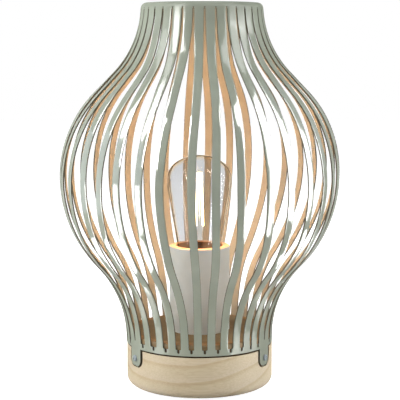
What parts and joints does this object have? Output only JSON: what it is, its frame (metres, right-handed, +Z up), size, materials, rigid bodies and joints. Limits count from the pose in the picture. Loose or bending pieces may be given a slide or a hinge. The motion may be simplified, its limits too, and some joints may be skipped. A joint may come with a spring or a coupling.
{
  "type": "table lamp",
  "caption": "Table lantern with a bulging slatted metal shade on a turned wooden base, and a clear filament lamp standing in a round socket cover.",
  "frame": {"origin": "centre of the plane that the foot pads stand on, on the lamp's axis", "axes": "+Z up along the lamp's axis; the front faces -Y and the cord leaves at the back, +Y"},
  "size_m": [0.2726, 0.2726, 0.374],
  "materials": {
    "pine": "satin lacquer",
    "sage_metal": "satin powder coat",
    "screw_steel": "plated",
    "plain_steel": "zinc plated",
    "plate": "matte",
    "pad_rubber": "matte",
    "bush_plastic": "matte",
    "cover_metal": "satin",
    "holder_plastic": "satin",
    "insert_ceramic": "matte",
    "contact_brass": "bright",
    "tip_solder": "soldered",
    "black_glass": "gloss",
    "cap_brass": "bright",
    "globe_glass": "clear",
    "stem_glass": "clear",
    "filament": "glowing",
    "wire_steel": "drawn",
    "board": "matte"
  },
  "bodies": {
    "stand": {"wood_base": "pine", "slat_shade": "sage_metal", "shade_screws": "screw_steel", "bottom_cover": "plate", "cover_screws": "plain_steel", "foot_pads": "pad_rubber", "cord_bush": "bush_plastic", "socket_cover": "cover_metal", "threaded_tube": "plain_steel", "base_washer": "plain_steel", "base_nut": "plain_steel", "cover_nut": "plain_steel", "holder_cap": "holder_plastic", "holder_sleeve": "holder_plastic", "holder_insert": "insert_ceramic", "screw_shell": "contact_brass", "centre_contact": "contact_brass", "holder_terminals": "contact_brass", "terminal_screws": "plain_steel"},
    "lamp_tip": {"lamp_tip": "tip_solder"},
    "lamp": {"lamp_insulator": "black_glass", "lamp_cap": "cap_brass", "lamp_globe": "globe_glass", "lamp_stem": "stem_glass", "lamp_filaments": "filament", "lamp_wires": "wire_steel", "lamp_driver": "board"}
  },
  "joints": [
    {"name": "lamp_rise", "type": "slide", "parent": "stand", "child": "lamp_tip", "axis": [0, 0, 1], "range_m": [0, 0.01996]},
    {"name": "lamp_turn", "type": "hinge", "parent": "lamp_tip", "child": "lamp", "pos_m": [0, 0, 0.1], "axis": [0, 0, 1], "range_deg": [0, 1980]}
  ],
  "couplings": [
    {"joint": "lamp_turn", "follows": "lamp_rise", "rad_per_m": 1731.4}
  ]
}
